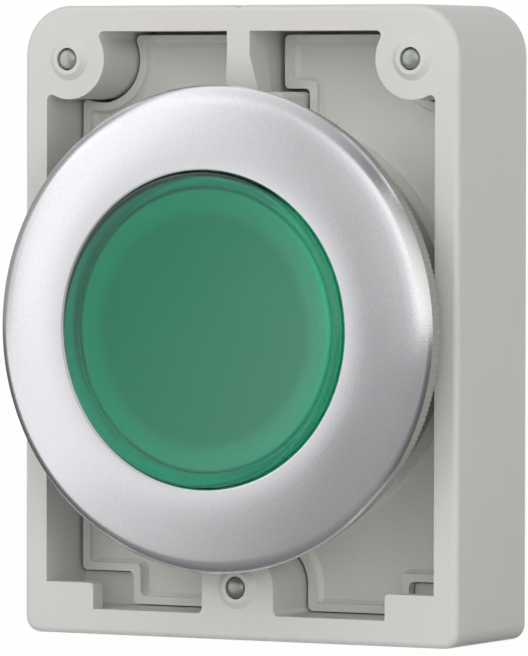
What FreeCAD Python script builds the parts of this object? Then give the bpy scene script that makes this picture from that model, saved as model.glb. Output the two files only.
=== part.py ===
"""Illuminated push button actuator with its rear clamping frame.

Millimetres. The button axis is Y, the front looks along -Y and +Z is up.
Y = 0 is the sealing face of the panel gasket and the origin is on the button axis.
"""
import math
import os

import FreeCAD
import Part

# panel hole and barrel
PANEL_HOLE_R = 15.25
PANEL_CLEARANCE = 0.25
BARREL_NECK_STEP = 0.9
BARREL_REAR_STEP = 0.8
BARREL_WALL = 2.5
BARREL_NECK_LENGTH = 1.2
BARREL_TAIL = 2.1
SHOULDER_DEPTH = 1.0
SEAL_GROOVE_WALL = 1.2
SEAL_GROOVE_DEPTH = 1.1
FIT = 0.05

# mounting frame
WALL = 1.9
SIDE_ROOM = 1.3
END_ROOM = 6.6
FRAME_FRONT = 1.5
FRAME_LIFT = 0.37
TOP_CORNER_R = 3.7
BOTTOM_CORNER_R = 1.2
FRONT_EDGE_R = 0.45
POCKET_CORNER_R = 0.4
WEB_THICKNESS = 2.0
WEB_SETBACK = 0.8
NOTCH_HALF = 0.55
NOTCH_DEPTH = 0.25

# screw bosses, placed from the inner faces of the walls
SCREW_INSET_SIDE = 1.9
SCREW_INSET_TOP = 2.08
SCREW_INSET_BOTTOM = 2.01
BOSS_WALL = 0.9
CONE_BASE_WALL = 0.75
CONE_TOP_WALL = 0.3
CONE_HEIGHT = 0.35

# top rib and key tab
RIB_HALF = 0.95
RIB_DEEP_STEP = 0.35
RIB_WIDE_DEPTH = 2.7
RIB_LEVEL_LENGTH = 1.8
RIB_RAMP_RUN = 2.3
RIB_RAMP_DROP = 0.55
RIB_FLARE = 0.37
TAB_SETBACK = 1.35
TAB_HALF = 3.05
TAB_HEIGHT = 2.47
KEY_HALF = 1.45
KEY_DEPTH = 0.75
KEY_CLEARANCE = 0.1

# bottom corner plates
CORNER_PLATE_WIDTH = 4.03
CORNER_PLATE_HEIGHT = 1.95
CORNER_PLATE_THICKNESS = 1.5
CORNER_PLATE_R = 0.3

# base plate
PLATE_GAP = 0.25
PLATE_BOTTOM_GAP = 0.1
PLATE_THICKNESS = 2.5
RIM_DEPTH = 5.1
RIM_HEIGHT = 0.8
RIM_WIDTH = 0.6
RIM_FOOT = 0.3
PLATE_CORNER_R = 0.4
CORNER_GAP = 0.6
CORNER_CLEARANCE = 0.13
HUB_LAND = 0.6

# panel gasket
GASKET_SETBACK = 0.33
GASKET_THICKNESS = 1.6
GASKET_LANDS = 60
GASKET_GROOVE = 0.14

# bezel ring
RING_OVERHANG = 2.98
RING_REAR_STEP = 0.6
RING_REAR_RISE = 0.45
RING_SIDE = 0.25
RING_EDGE_STEP = 1.13
RING_EDGE_RISE = 1.05
RING_CREST_INSET = 1.42
RING_CREST_HEIGHT = 2.42
RING_LIP_GAP = 0.12
RING_LIP_DROP = 0.2
RING_EDGE_BULGE = 0.17
RING_DOME_BULGE = 0.19
RING_LIP_BULGE = 0.06
BEZEL_SEAL_THICKNESS = 0.3

# lens cap and the parts that move with it
LENS_STEP = 0.82
LENS_RUNNING = 0.07
LENS_PROUD = 0.48
LENS_EDGE_R = 0.45
LENS_FRONT_WALL = 1.1
LENS_SIDE_WALL = 1.0
DIFFUSER_THICKNESS = 0.9
CARRIER_RUNNING = 0.08
CARRIER_RIM = 1.2
CARRIER_WALL = 1.2
CARRIER_WEB = 1.4
CARRIER_SKIRT_STEP = 1.8
CARRIER_HUB_R = 6.3
CARRIER_HUB_WALL = 0.9
BUTTON_TRAVEL = 4.0
END_CLEARANCE = 0.3

# light tube, spring plate and spring
TUBE_WALL = 0.92
TUBE_CLEARANCE = 0.08
TUBE_FLANGE_STEP = 2.1
TUBE_FLANGE_THICKNESS = 1.0
SPRING_PLATE_THICKNESS = 2.2
SPRING_SEAT_HEIGHT = 0.5
SPRING_SEAT_GAP = 0.2
SPRING_WIRE_R = 0.4
SPRING_GAP = 1.9
SPRING_TURNS = 4
SPRING_STEPS = 18
SPRING_SIDES = 8
RETAINER_THICKNESS = 0.8
RETAINER_MARGIN = 0.2
RETAINER_DEPTH = 0.7
RETAINER_WIDTH = 1.1

# contact pusher
PUSHER_LEG_HALF = 2.0
PUSHER_LEG_GAP = 0.15
PUSHER_LEG_THICKNESS = 1.7
PUSHER_LEG_REACH = 1.8
PUSHER_RING_LENGTH = 1.6
PUSHER_LIP = 0.8
LEG_CLEARANCE = 0.1

# lock ring
LOCK_RING_WIDTH = 2.3
LOCK_GROOVE_DEPTH = 0.6
LOCK_RING_THICKNESS = 1.0
LOCK_RING_GAP_HALF = 4.0

# clamp screws and threaded inserts
THREAD_R = 1.25
TIP_STEP = 0.47
TIP_PROUD = 0.5
TIP_LENGTH = 4.0
TIP_CLEARANCE = 0.07
TIP_HOLE_LENGTH = 0.55
SCREW_TAIL = 2.2
SCREW_SLOT_HALF = 0.25
SCREW_SLOT_DEPTH = 0.8
SHANK_CLEARANCE = 0.15
THREAD_CLEARANCE = 0.02
INSERT_WALL = 0.85
INSERT_LENGTH = 4.0
INSERT_KNURLS = 12
KNURL_R = 0.18

# contact block latch slots in the rear web
LATCH_OFFSET = 0.2
LATCH_SETBACK = 3.5
LATCH_HALF_WIDTH = 2.6
LATCH_HALF_HEIGHT = 1.1

# radii that follow from the panel hole
BARREL_R = PANEL_HOLE_R - PANEL_CLEARANCE
BARREL_NECK_R = BARREL_R - BARREL_NECK_STEP
BARREL_REAR_R = BARREL_R - BARREL_REAR_STEP
BARREL_BORE_R = BARREL_R - BARREL_WALL
SEAL_GROOVE_R = BARREL_NECK_R - SEAL_GROOVE_WALL
LENS_R = BARREL_BORE_R - LENS_STEP
BARREL_FRONT_BORE_R = LENS_R + LENS_RUNNING
RING_R = BARREL_R + RING_OVERHANG
GASKET_R = RING_R - GASKET_SETBACK
LENS_BORE_R = LENS_R - LENS_SIDE_WALL
CARRIER_FLANGE_R = BARREL_BORE_R - CARRIER_RUNNING
PUSHER_RING_R = CARRIER_FLANGE_R - CARRIER_WALL
HUB_BORE_R = CARRIER_HUB_R - CARRIER_HUB_WALL
TUBE_R = HUB_BORE_R - TUBE_CLEARANCE
TUBE_BORE_R = TUBE_R - TUBE_WALL
TUBE_FLANGE_R = TUBE_R + TUBE_FLANGE_STEP
SPRING_MEAN_R = CARRIER_HUB_R + SPRING_GAP + SPRING_WIRE_R
RETAINER_R = BARREL_BORE_R + RETAINER_DEPTH
RETAINER_INNER_R = RETAINER_R - RETAINER_WIDTH
PUSHER_LEG_R = RETAINER_INNER_R - PUSHER_LEG_GAP
LOCK_GROOVE_R = BARREL_REAR_R - LOCK_GROOVE_DEPTH
LOCK_RING_R = LOCK_GROOVE_R + LOCK_RING_WIDTH
TIP_R = THREAD_R - TIP_STEP
TIP_HOLE_R = TIP_R + TIP_CLEARANCE
SHANK_HOLE_R = THREAD_R + SHANK_CLEARANCE
INSERT_R = THREAD_R + INSERT_WALL
BOSS_R = INSERT_R + BOSS_WALL

# outline of the frame
INNER_X = BARREL_R + SIDE_ROOM
HALF_W = INNER_X + WALL
INNER_TOP = FRAME_LIFT + BARREL_R + END_ROOM
INNER_BOTTOM = FRAME_LIFT - BARREL_R - END_ROOM
TOP_Z = INNER_TOP + WALL
BOTTOM_Z = INNER_BOTTOM - WALL
SCREW_X = INNER_X - SCREW_INSET_SIDE
SCREW_TOP_Z = INNER_TOP - SCREW_INSET_TOP
SCREW_BOTTOM_Z = INNER_BOTTOM + SCREW_INSET_BOTTOM
CORNER_PLATE_X = INNER_X - CORNER_PLATE_WIDTH
CORNER_PLATE_Z = INNER_BOTTOM + CORNER_PLATE_HEIGHT
TAB_TOP_Z = BARREL_R + TAB_HEIGHT
LATCH_X = SCREW_X / 2 + LATCH_OFFSET
SCREWS = {
    "left": (-SCREW_X, SCREW_TOP_Z),
    "right": (SCREW_X, SCREW_TOP_Z),
    "bottom": (0.0, SCREW_BOTTOM_Z),
}

# places along the button axis, from front to back
BARREL_FRONT = -GASKET_THICKNESS
NECK_FRONT = BARREL_FRONT - BARREL_NECK_LENGTH
LENS_FRONT = BARREL_FRONT - RING_CREST_HEIGHT - LENS_PROUD
LENS_BACK = LENS_FRONT + LENS_FRONT_WALL
CARRIER_FRONT = LENS_BACK + DIFFUSER_THICKNESS
SHOULDER_Y = NECK_FRONT + SEAL_GROOVE_DEPTH + SHOULDER_DEPTH
RIM_TOP = FRAME_FRONT + RIM_DEPTH
PLATE_FLOOR = RIM_TOP + RIM_HEIGHT
WEB_FRONT = PLATE_FLOOR + PLATE_THICKNESS
WEB_REAR = WEB_FRONT + WEB_THICKNESS
FRAME_REAR = WEB_REAR + WEB_SETBACK
FRAME_DEPTH = FRAME_REAR - FRAME_FRONT
BARREL_REAR = WEB_REAR + LOCK_RING_THICKNESS + BARREL_TAIL
SPRING_PLATE_REAR = BARREL_REAR - RETAINER_THICKNESS - RETAINER_MARGIN
SPRING_PLATE_FRONT = SPRING_PLATE_REAR - SPRING_PLATE_THICKNESS
HUB_REAR = SPRING_PLATE_FRONT - BUTTON_TRAVEL - END_CLEARANCE
CARRIER_REAR = HUB_REAR - CARRIER_SKIRT_STEP
PUSHER_LEG_REAR = SPRING_PLATE_REAR + PUSHER_LEG_REACH
SCREW_REAR = FRAME_REAR + SCREW_TAIL


def block(x0, x1, y0, y1, z0, z1):
    return Part.makeBox(x1 - x0, y1 - y0, z1 - z0, FreeCAD.Vector(x0, y0, z0))


def post(radius, y0, y1, x=0.0, z=0.0):
    return Part.makeCylinder(radius, y1 - y0, FreeCAD.Vector(x, y0, z), FreeCAD.Vector(0, 1, 0))


def tube(outer, inner, y0, y1, x=0.0, z=0.0):
    return post(outer, y0, y1, x, z).cut(post(inner, y0, y1, x, z))


def lathe(points):
    """Solid of revolution about Y from (radius, y) corners."""
    corners = [FreeCAD.Vector(r, y, 0) for r, y in points]
    face = Part.Face(Part.makePolygon(corners + corners[:1]))
    return face.revolve(FreeCAD.Vector(0, 0, 0), FreeCAD.Vector(0, 1, 0), 360)


def along_y(shape, wanted, tolerance=0.02):
    """Straight edges along Y whose (x, z) lies in the list of wanted places."""
    found = []
    for edge in shape.Edges:
        if len(edge.Vertexes) != 2:
            continue
        a = edge.Vertexes[0].Point
        b = edge.Vertexes[1].Point
        if abs(a.x - b.x) > 0.001 or abs(a.z - b.z) > 0.001:
            continue
        for x, z in wanted:
            if abs(a.x - x) < tolerance and abs(a.z - z) < tolerance:
                found.append(edge)
    return found


def in_plane(shape, y, tolerance=0.001):
    """Edges that lie wholly in the plane at y."""
    found = []
    for edge in shape.Edges:
        box = edge.BoundBox
        if abs(box.YMin - y) < tolerance and abs(box.YMax - y) < tolerance:
            found.append(edge)
    return found


def corners(half, z):
    return [(-half, z), (half, z)]


def bottom_column(half, y0, y1):
    """Bottom boss: a column with a round top that stands on the bottom wall."""
    x, z = SCREWS["bottom"]
    return post(half, y0, y1, x, z).fuse(block(-half, half, y0, y1, BOTTOM_Z, z))


def top_rib():
    """Web from the top wall to the key tab, with its ramped front and the tab itself."""
    ramp_top = INNER_TOP - RIB_LEVEL_LENGTH
    ramp_low = ramp_top - RIB_RAMP_RUN
    wide_end = FRAME_FRONT + RIB_WIDE_DEPTH
    deep_half = RIB_HALF - RIB_DEEP_STEP
    wall_z = INNER_TOP + WALL / 2
    tab_z = TAB_TOP_Z
    wide = block(-RIB_HALF, RIB_HALF, FRAME_FRONT, wide_end, tab_z, wall_z)
    deep = block(-deep_half, deep_half, wide_end, WEB_FRONT, tab_z, wall_z)
    low_front = FRAME_FRONT + RIB_RAMP_DROP
    tab_front = FRAME_FRONT + TAB_SETBACK
    side = [
        FreeCAD.Vector(-RIB_HALF - 1, FRAME_FRONT - 1, ramp_top),
        FreeCAD.Vector(-RIB_HALF - 1, FRAME_FRONT, ramp_top),
        FreeCAD.Vector(-RIB_HALF - 1, low_front, ramp_low),
        FreeCAD.Vector(-RIB_HALF - 1, low_front, tab_z - 1),
        FreeCAD.Vector(-RIB_HALF - 1, FRAME_FRONT - 1, tab_z - 1),
    ]
    ramp = Part.Face(Part.makePolygon(side + side[:1])).extrude(FreeCAD.Vector(2 * RIB_HALF + 2, 0, 0))
    tab = block(-TAB_HALF, TAB_HALF, tab_front, WEB_FRONT, BARREL_R, tab_z)
    tab = tab.makeFillet(PLATE_CORNER_R, along_y(tab, corners(TAB_HALF, tab_z)))
    tab = tab.cut(post(BARREL_R + FIT, tab_front, WEB_FRONT))
    key = block(-KEY_HALF, KEY_HALF, tab_front, RIM_TOP, BARREL_R - KEY_DEPTH, BARREL_R + 1)
    flared = RIB_HALF + RIB_FLARE
    flare = [
        FreeCAD.Vector(-RIB_HALF, FRAME_FRONT, ramp_top),
        FreeCAD.Vector(-flared, FRAME_FRONT, ramp_low),
        FreeCAD.Vector(-flared, FRAME_FRONT, tab_z),
        FreeCAD.Vector(flared, FRAME_FRONT, tab_z),
        FreeCAD.Vector(flared, FRAME_FRONT, ramp_low),
        FreeCAD.Vector(RIB_HALF, FRAME_FRONT, ramp_top),
    ]
    gusset = Part.Face(Part.makePolygon(flare + flare[:1])).extrude(FreeCAD.Vector(0, RIB_WIDE_DEPTH, 0))
    return wide.fuse(deep).fuse(gusset).cut(ramp).fuse(tab).fuse(key)


def mounting_frame():
    """Moulded frame: walls, bosses, rib, corner plates and the rear web."""
    outer = block(-HALF_W, HALF_W, FRAME_FRONT, FRAME_REAR, BOTTOM_Z, TOP_Z)
    outer = outer.makeFillet(TOP_CORNER_R, along_y(outer, corners(HALF_W, TOP_Z)))
    outer = outer.makeFillet(BOTTOM_CORNER_R, along_y(outer, corners(HALF_W, BOTTOM_Z)))
    outer = outer.makeFillet(FRONT_EDGE_R, in_plane(outer, FRAME_FRONT))
    pocket = block(-INNER_X, INNER_X, FRAME_FRONT, WEB_FRONT, INNER_BOTTOM, INNER_TOP)
    for name in ("left", "right"):
        x, z = SCREWS[name]
        pocket = pocket.cut(post(BOSS_R, FRAME_FRONT, WEB_FRONT, x, z))
    pocket = pocket.cut(bottom_column(BOSS_R, FRAME_FRONT, WEB_FRONT))
    reach_side = math.sqrt(BOSS_R ** 2 - SCREW_INSET_SIDE ** 2)
    reach_top = math.sqrt(BOSS_R ** 2 - SCREW_INSET_TOP ** 2)
    cusps = corners(INNER_X, SCREW_TOP_Z - reach_side)
    cusps += corners(SCREW_X - reach_top, INNER_TOP)
    cusps += corners(INNER_X, INNER_BOTTOM) + corners(BOSS_R, INNER_BOTTOM)
    pocket = pocket.makeFillet(POCKET_CORNER_R, along_y(pocket, cusps))
    body = outer.cut(pocket)
    body = body.fuse(top_rib())
    plate_z = CORNER_PLATE_Z
    for side in (-1, 1):
        near, far = sorted((side * CORNER_PLATE_X, side * (INNER_X + WALL / 2)))
        low = BOTTOM_Z + WALL / 2
        plate = block(near, far, FRAME_FRONT, FRAME_FRONT + CORNER_PLATE_THICKNESS, low, plate_z)
        ledge_x = CORNER_PLATE_X - CORNER_GAP + CORNER_CLEARANCE
        ledge_z = plate_z + CORNER_GAP - CORNER_CLEARANCE
        near, far = sorted((side * ledge_x, side * (INNER_X + WALL / 2)))
        ledge = block(near, far, PLATE_FLOOR, WEB_FRONT, low, ledge_z)
        for piece, x, z in ((plate, CORNER_PLATE_X, plate_z), (ledge, ledge_x, ledge_z)):
            body = body.fuse(piece.makeFillet(CORNER_PLATE_R, along_y(piece, [(side * x, z)])))
    back = block(-INNER_X, INNER_X, WEB_REAR, FRAME_REAR, INNER_BOTTOM, INNER_TOP)
    for x, z in SCREWS.values():
        back = back.cut(post(BOSS_R, WEB_REAR, FRAME_REAR, x, z))
    body = body.cut(back)
    body = body.cut(post(BARREL_REAR_R + 0.15, WEB_FRONT, FRAME_REAR))
    for x, z in SCREWS.values():
        tip = FRAME_FRONT - CONE_HEIGHT
        cone = Part.makeCone(TIP_HOLE_R + CONE_TOP_WALL, TIP_HOLE_R + CONE_BASE_WALL, CONE_HEIGHT,
                             FreeCAD.Vector(x, tip, z), FreeCAD.Vector(0, 1, 0))
        body = body.fuse(cone)
        body = body.cut(post(TIP_HOLE_R, tip, FRAME_REAR, x, z))
        body = body.cut(post(SHANK_HOLE_R, tip + TIP_HOLE_LENGTH, FRAME_REAR, x, z))
        body = body.cut(post(INSERT_R, FRAME_REAR - INSERT_LENGTH, FRAME_REAR, x, z))
    for x in (-LATCH_X, LATCH_X):
        for z in (INNER_TOP - LATCH_SETBACK, INNER_BOTTOM + LATCH_SETBACK):
            body = body.cut(block(x - LATCH_HALF_WIDTH, x + LATCH_HALF_WIDTH, WEB_FRONT, WEB_REAR,
                                  z - LATCH_HALF_HEIGHT, z + LATCH_HALF_HEIGHT))
    notch = [
        FreeCAD.Vector(-NOTCH_HALF, FRAME_FRONT, TOP_Z),
        FreeCAD.Vector(0, FRAME_FRONT, TOP_Z - NOTCH_DEPTH),
        FreeCAD.Vector(NOTCH_HALF, FRAME_FRONT, TOP_Z),
    ]
    groove = Part.Face(Part.makePolygon(notch + notch[:1])).extrude(FreeCAD.Vector(0, FRAME_DEPTH, 0))
    return body.cut(groove).removeSplitter()


def plate_outline(inset, y0, y1):
    """Outline of the base plate, drawn in by the inset, between two depths."""
    x = INNER_X - PLATE_GAP - inset
    low = INNER_BOTTOM + PLATE_BOTTOM_GAP + inset
    high = INNER_TOP - PLATE_GAP - inset
    shape = block(-x, x, y0, y1, low, high)
    for name in ("left", "right"):
        sx, sz = SCREWS[name]
        side = math.copysign(1, sx)
        radius = BOSS_R + PLATE_GAP + inset
        shape = shape.cut(post(radius, y0, y1, sx, sz))
        a, b = sorted((sx, side * (x + 1)))
        shape = shape.cut(block(a, b, y0, y1, sz, high + 1))
    shape = shape.cut(bottom_column(BOSS_R + PLATE_GAP + inset, y0, y1))
    slot = RIB_HALF + PLATE_GAP + inset
    shape = shape.cut(block(-slot, slot, y0, y1, BARREL_R, TOP_Z))
    tab = TAB_HALF + PLATE_GAP + inset
    shape = shape.cut(block(-tab, tab, y0, y1, BARREL_R - 1, TAB_TOP_Z + PLATE_GAP + inset))
    for side in (-1, 1):
        near, far = sorted((side * (CORNER_PLATE_X - CORNER_GAP - inset), side * HALF_W))
        corner = block(near, far, y0, y1, BOTTOM_Z, CORNER_PLATE_Z + CORNER_GAP + inset)
        shape = shape.cut(corner)
    straight = [e for e in shape.Edges if abs(e.BoundBox.YLength - (y1 - y0)) < 0.01 and e.BoundBox.XLength < 0.01]
    outside = [e for e in straight if math.hypot(e.BoundBox.XMin, e.BoundBox.ZMin) > BARREL_R + HUB_LAND]
    return shape.makeFillet(PLATE_CORNER_R, outside)


def base_plate():
    """Insert that fills the frame: a floor with a raised rim round its outline and hub."""
    shape = plate_outline(0, RIM_TOP, WEB_FRONT)
    pocket = plate_outline(RIM_WIDTH, RIM_TOP, PLATE_FLOOR).cut(post(BARREL_R + HUB_LAND, RIM_TOP, PLATE_FLOOR))
    pocket = pocket.makeChamfer(RIM_FOOT, in_plane(pocket, PLATE_FLOOR))
    shape = shape.cut(pocket)
    return shape.cut(post(BARREL_REAR_R + FIT, RIM_TOP, WEB_FRONT)).removeSplitter()


def barrel():
    """Tube that passes through the panel and carries every moving part."""
    shape = lathe([
        (SEAL_GROOVE_R, NECK_FRONT),
        (BARREL_NECK_R, NECK_FRONT),
        (BARREL_NECK_R, BARREL_FRONT),
        (BARREL_R, BARREL_FRONT),
        (BARREL_R, RIM_TOP),
        (BARREL_REAR_R, RIM_TOP),
        (BARREL_REAR_R, WEB_REAR),
        (LOCK_GROOVE_R, WEB_REAR),
        (LOCK_GROOVE_R, WEB_REAR + LOCK_RING_THICKNESS),
        (BARREL_REAR_R, WEB_REAR + LOCK_RING_THICKNESS),
        (BARREL_REAR_R, BARREL_REAR),
        (BARREL_BORE_R, BARREL_REAR),
        (BARREL_BORE_R, SPRING_PLATE_REAR + RETAINER_THICKNESS),
        (RETAINER_R, SPRING_PLATE_REAR + RETAINER_THICKNESS),
        (RETAINER_R, SPRING_PLATE_REAR),
        (BARREL_BORE_R + 0.1, SPRING_PLATE_REAR),
        (BARREL_BORE_R + 0.1, SPRING_PLATE_FRONT),
        (BARREL_BORE_R, SPRING_PLATE_FRONT),
        (BARREL_BORE_R, SHOULDER_Y),
        (BARREL_FRONT_BORE_R, SHOULDER_Y),
        (BARREL_FRONT_BORE_R, NECK_FRONT + SEAL_GROOVE_DEPTH),
        (SEAL_GROOVE_R, NECK_FRONT + SEAL_GROOVE_DEPTH),
    ])
    groove = KEY_HALF + KEY_CLEARANCE
    slot = block(-groove, groove, FRAME_FRONT, RIM_TOP, BARREL_R - KEY_DEPTH - KEY_CLEARANCE, BARREL_R + 1)
    return shape.cut(slot)


def bulged(a, b, bulge):
    """Arc from a to b that swells to the left of its chord by the bulge."""
    chord = b - a
    side = FreeCAD.Vector(-chord.y, chord.x, 0).normalize()
    return Part.Arc(a, (a + b) / 2 + side * bulge, b).toShape()


def bezel_ring():
    """Domed ring with a soft edge and a low inner lip; it seats on the neck of the barrel."""
    back = BARREL_FRONT
    rear_edge = back - RING_REAR_RISE
    side = rear_edge - RING_SIDE
    crest = back - RING_CREST_HEIGHT
    lip_r = LENS_R + RING_LIP_GAP
    seat = NECK_FRONT - BEZEL_SEAL_THICKNESS
    points = [
        FreeCAD.Vector(BARREL_NECK_R + FIT, back, 0),
        FreeCAD.Vector(RING_R - RING_REAR_STEP, back, 0),
        FreeCAD.Vector(RING_R, rear_edge, 0),
        FreeCAD.Vector(RING_R, side, 0),
        FreeCAD.Vector(RING_R - RING_EDGE_STEP, side - RING_EDGE_RISE, 0),
        FreeCAD.Vector(LENS_R + RING_CREST_INSET, crest, 0),
        FreeCAD.Vector(lip_r, crest + RING_LIP_DROP, 0),
        FreeCAD.Vector(lip_r, seat, 0),
        FreeCAD.Vector(BARREL_NECK_R + FIT, seat, 0),
    ]
    edges = [Part.makeLine(a, b) for a, b in zip(points, points[1:] + points[:1])]
    edges[3] = bulged(points[3], points[4], RING_EDGE_BULGE)
    edges[4] = bulged(points[4], points[5], RING_DOME_BULGE)
    edges[5] = bulged(points[5], points[6], RING_LIP_BULGE)
    face = Part.Face(Part.Wire(edges))
    return face.revolve(FreeCAD.Vector(0, 0, 0), FreeCAD.Vector(0, 1, 0), 360)


def panel_gasket():
    """Soft ring behind the bezel with a finely fluted rim."""
    ring = tube(GASKET_R, BARREL_R + FIT, -GASKET_THICKNESS, 0)
    cuts = []
    for i in range(GASKET_LANDS):
        angle = 2 * math.pi * i / GASKET_LANDS
        reach = GASKET_R + GASKET_GROOVE
        cuts.append(post(2 * GASKET_GROOVE, -GASKET_THICKNESS * 0.75, -GASKET_THICKNESS * 0.25,
                         reach * math.sin(angle), reach * math.cos(angle)))
    return ring.cut(cuts)


def bezel_seal():
    """Flat ring between the neck of the barrel and the bezel lip."""
    return tube(BARREL_NECK_R - 0.1, LENS_R + 0.6, NECK_FRONT - BEZEL_SEAL_THICKNESS, NECK_FRONT)


def lip_seal():
    """Soft wiper in the front groove of the barrel, round the skirt of the lens."""
    front = NECK_FRONT
    rear = NECK_FRONT + SEAL_GROOVE_DEPTH
    return lathe([
        (SEAL_GROOVE_R, front),
        (SEAL_GROOVE_R, rear),
        (LENS_R + 0.6, rear),
        (LENS_R + 0.02, rear - 0.25),
        (LENS_R + 0.02, rear - 0.55),
        (LENS_R + 0.6, front + 0.2),
        (LENS_R + 0.6, front),
    ])


def lens_cap():
    """Clear coloured cap: a flat front with a rounded edge and a plain skirt."""
    cup = post(LENS_R, LENS_FRONT, SHOULDER_Y)
    cup = cup.makeFillet(LENS_EDGE_R, in_plane(cup, LENS_FRONT))
    return cup.cut(post(LENS_BORE_R, LENS_BACK, SHOULDER_Y))


def diffuser_disc():
    """Matt disc just behind the front of the lens."""
    return post(LENS_BORE_R - FIT, LENS_BACK, LENS_BACK + DIFFUSER_THICKNESS)


def button_carrier():
    """Spool that holds the lens in front, slides in the barrel and takes the spring."""
    flange = SHOULDER_Y
    return lathe([
        (HUB_BORE_R, flange + 0.2),
        (LENS_BORE_R - CARRIER_RIM, flange + 0.2),
        (LENS_BORE_R - CARRIER_RIM, CARRIER_FRONT),
        (LENS_BORE_R - FIT, CARRIER_FRONT),
        (LENS_BORE_R - FIT, flange),
        (CARRIER_FLANGE_R, flange),
        (CARRIER_FLANGE_R, CARRIER_REAR),
        (PUSHER_RING_R, CARRIER_REAR),
        (PUSHER_RING_R, flange + CARRIER_WEB),
        (CARRIER_HUB_R, flange + CARRIER_WEB),
        (CARRIER_HUB_R, HUB_REAR),
        (HUB_BORE_R, HUB_REAR),
    ])


def light_tube():
    """Tube that takes the lamp from behind and carries its light to the lens."""
    front = SHOULDER_Y + 0.2 + BUTTON_TRAVEL
    rear = SPRING_PLATE_REAR
    return lathe([
        (TUBE_BORE_R, front),
        (TUBE_R, front),
        (TUBE_R, rear - TUBE_FLANGE_THICKNESS),
        (TUBE_FLANGE_R, rear - TUBE_FLANGE_THICKNESS),
        (TUBE_FLANGE_R, rear),
        (TUBE_BORE_R, rear),
    ])


def spring_plate():
    """Rear disc that closes the barrel, with slots for the legs of the pusher."""
    disc = post(BARREL_BORE_R + 0.1, SPRING_PLATE_FRONT, SPRING_PLATE_REAR)
    disc = disc.cut(post(TUBE_R, SPRING_PLATE_FRONT, SPRING_PLATE_REAR))
    disc = disc.cut(post(TUBE_FLANGE_R, SPRING_PLATE_REAR - TUBE_FLANGE_THICKNESS, SPRING_PLATE_REAR))
    seat = tube(SPRING_MEAN_R - SPRING_WIRE_R - SPRING_SEAT_GAP, CARRIER_HUB_R + LEG_CLEARANCE,
                SPRING_PLATE_FRONT - SPRING_SEAT_HEIGHT, SPRING_PLATE_FRONT)
    disc = disc.fuse(seat)
    near = PUSHER_LEG_R - PUSHER_LEG_THICKNESS - LEG_CLEARANCE
    half = PUSHER_LEG_HALF + LEG_CLEARANCE
    for side in (-1, 1):
        a, b = sorted((side * near, side * (PUSHER_LEG_R + LEG_CLEARANCE)))
        disc = disc.cut(block(a, b, SPRING_PLATE_FRONT, SPRING_PLATE_REAR, -half, half))
    return disc


def return_spring():
    """Coil between the web of the carrier and the spring plate."""
    front = SHOULDER_Y + CARRIER_WEB + SPRING_WIRE_R
    rear = SPRING_PLATE_FRONT - SPRING_WIRE_R
    sections = []
    for step in range(SPRING_TURNS * SPRING_STEPS + 1):
        turn = 2 * math.pi * step / SPRING_STEPS
        y = front + (rear - front) * step / (SPRING_TURNS * SPRING_STEPS)
        ring = []
        for side in range(SPRING_SIDES):
            angle = 2 * math.pi * (side + 0.5) / SPRING_SIDES
            r = SPRING_MEAN_R + SPRING_WIRE_R * math.cos(angle)
            ring.append(FreeCAD.Vector(r * math.cos(turn), y + SPRING_WIRE_R * math.sin(angle), r * math.sin(turn)))
        sections.append(Part.makePolygon(ring + ring[:1]))
    return Part.makeLoft(sections, True, True)


def contact_pusher():
    """Ring on the rear of the carrier with two legs that reach out behind."""
    inner = PUSHER_LEG_R - PUSHER_LEG_THICKNESS
    front = CARRIER_REAR - PUSHER_RING_LENGTH
    shape = tube(PUSHER_RING_R, inner, front, CARRIER_REAR)
    lip = tube(CARRIER_FLANGE_R - FIT, inner, CARRIER_REAR, CARRIER_REAR + PUSHER_LIP)
    shape = shape.fuse(lip)
    for side in (-1, 1):
        a, b = sorted((side * inner, side * PUSHER_LEG_R))
        leg = block(a, b, CARRIER_REAR, PUSHER_LEG_REAR, -PUSHER_LEG_HALF, PUSHER_LEG_HALF)
        leg = leg.common(tube(PUSHER_LEG_R, inner, CARRIER_REAR, PUSHER_LEG_REAR))
        shape = shape.fuse(leg)
    return shape.removeSplitter()


def retaining_ring():
    """Open ring in the rear groove of the barrel, behind the spring plate."""
    y0 = SPRING_PLATE_REAR
    y1 = y0 + RETAINER_THICKNESS
    ring = tube(RETAINER_R, RETAINER_INNER_R, y0, y1)
    return ring.cut(block(-LOCK_RING_GAP_HALF / 2, LOCK_RING_GAP_HALF / 2, y0, y1, -RETAINER_R - 1, 0))


def lock_ring():
    """Open ring round the barrel that holds it against the rear web of the frame."""
    y0 = WEB_REAR
    y1 = y0 + LOCK_RING_THICKNESS
    ring = tube(LOCK_RING_R, LOCK_GROOVE_R, y0, y1)
    gap = block(-LOCK_RING_GAP_HALF, LOCK_RING_GAP_HALF, y0, y1, 0, LOCK_RING_R + 1)
    return ring.cut(gap)


def clamp_screw(x, z):
    """Slotted set screw with a plain domed tip."""
    tip = FRAME_FRONT - TIP_PROUD
    shoulder = tip + TIP_LENGTH
    body = post(TIP_R, tip, shoulder)
    body = body.makeFillet(TIP_R * 0.6, in_plane(body, tip))
    shank = post(THREAD_R, shoulder, SCREW_REAR)
    shank = shank.makeChamfer(0.25, in_plane(shank, shoulder) + in_plane(shank, SCREW_REAR))
    body = body.fuse(shank)
    body.translate(FreeCAD.Vector(x, 0, z))
    slot = block(x - THREAD_R, x + THREAD_R, SCREW_REAR - SCREW_SLOT_DEPTH, SCREW_REAR,
                 z - SCREW_SLOT_HALF, z + SCREW_SLOT_HALF)
    return body.cut(slot)


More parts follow.
